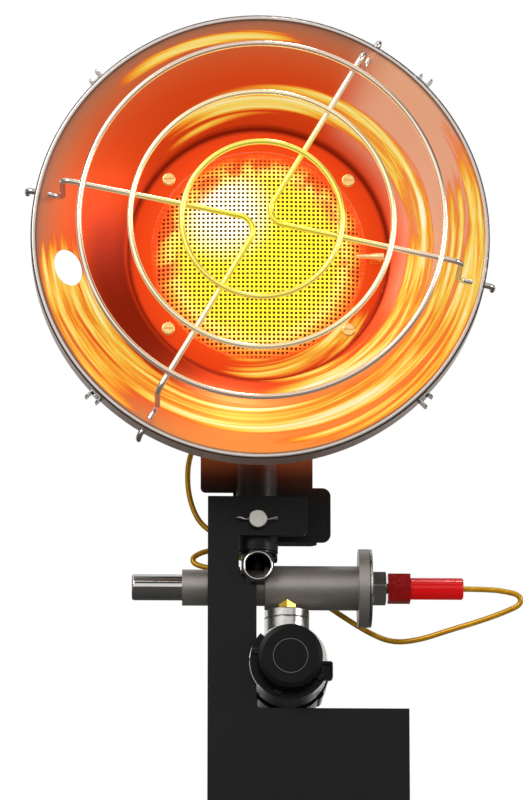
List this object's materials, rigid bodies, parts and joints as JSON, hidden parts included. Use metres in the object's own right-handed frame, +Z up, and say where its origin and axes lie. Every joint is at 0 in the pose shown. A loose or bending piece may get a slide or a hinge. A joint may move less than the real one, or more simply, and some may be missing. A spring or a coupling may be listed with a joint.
{
  "type": "portable propane heater",
  "caption": "Radiant gas heater head with spun dish, wire guard and mesh burner on a tube, with safety valve, regulator, control knob and cylinder hand nut; screws onto an upright gas cylinder.",
  "frame": {"origin": "on the hand nut's axis, in the plane of its open mouth and of the inlet nipple's tip", "axes": "+Y out of the nut's mouth towards the cylinder valve; the dish faces -Y; +Z up; +X to the right of someone who faces the dish"},
  "size_m": [0.2937, 0.1517, 0.4627],
  "materials": {
    "reflector": "spun steel, satin, warm heat tint",
    "guard_wire": "polished wire",
    "zinc_trim": "zinc plated",
    "plenum": "drawn steel, dull",
    "gasket": "woven ceramic seal",
    "burner_mesh": "heat-resisting woven mesh",
    "black_steel": "satin black enamel",
    "black_casting": "satin black",
    "chrome": "bright plated",
    "valve_grey": "satin cast aluminium",
    "brass": "machined",
    "spring_steel": "plain",
    "seal_rubber": "moulded",
    "lead_copper": "drawn capillary, golden",
    "probe_steel": "drawn sheath",
    "boot_red": "moulded, red",
    "regulator_silver": "satin die-cast",
    "black_plastic": "moulded, black",
    "knob_black": "moulded, satin black"
  },
  "bodies": {
    "heater": {"reflector": "reflector", "guard_ring_outer": "guard_wire", "guard_ring_middle": "guard_wire", "guard_ring_inner": "guard_wire", "guard_wire_left": "guard_wire", "guard_wire_right": "guard_wire", "rim_clips": "zinc_trim", "clip_rivets": "zinc_trim", "burner_screws": "zinc_trim", "burner_nuts": "zinc_trim", "side_screw": "zinc_trim", "cap_screws": "zinc_trim", "bonnet_screws": "zinc_trim", "cotter_pin": "zinc_trim", "probe_clip": "zinc_trim", "bracket_stud": "zinc_trim", "burner_plenum": "plenum", "screen_ring": "plenum", "gas_baffle": "plenum", "burner_gasket": "gasket", "burner_screen": "burner_mesh", "inner_screen": "burner_mesh", "burner_tube": "black_steel", "head_bracket": "black_steel", "support_bracket": "black_steel", "injector_housing": "black_casting", "air_inlet_ring": "chrome", "thermocouple_nut": "chrome", "valve_body": "valve_grey", "valve_cap": "valve_grey", "injector": "brass", "outlet_fitting": "brass", "inlet_nipple": "brass", "spring_plate": "brass", "button_spring": "spring_steel", "poppet_spring": "spring_steel", "regulator_spring": "spring_steel", "magnet_cup": "spring_steel", "magnet": "spring_steel", "stem_seal": "seal_rubber", "regulator_diaphragm": "seal_rubber", "thermocouple_lead": "lead_copper", "lead_terminal": "lead_copper", "thermocouple_probe": "probe_steel", "lead_boot": "boot_red", "regulator_body": "regulator_silver", "regulator_bonnet": "black_plastic"},
    "control": {"control_knob": "knob_black", "control_stem": "brass"},
    "button": {"safety_button": "chrome"},
    "poppet": {"valve_poppet": "brass", "poppet_seal": "seal_rubber", "armature": "spring_steel"},
    "cylinder_nut": {"hand_nut": "black_plastic"}
  },
  "joints": [
    {"name": "control_turn", "type": "hinge", "parent": "heater", "child": "control", "pos_m": [0, -0.064, 0], "axis": [0, -1, 0], "range_deg": [0, 270]},
    {"name": "button_press", "type": "slide", "parent": "heater", "child": "button", "axis": [1, 0, 0], "range_m": [0, 0.005], "stiffness_N_per_m": 400, "springref_m": -0.005, "deforming": ["button_spring"]},
    {"name": "poppet_lift", "type": "slide", "parent": "heater", "child": "poppet", "axis": [1, 0, 0], "range_m": [0, 0.005], "stiffness_N_per_m": 200, "springref_m": -0.003, "deforming": ["poppet_spring"]},
    {"name": "nut_turn", "type": "hinge", "parent": "heater", "child": "cylinder_nut", "pos_m": [0, -0.015, 0], "axis": [0, 1, 0], "continuous": true}
  ],
  "couplings": [
    {"joint": "poppet_lift", "follows": "button_press", "ratio": 1}
  ]
}
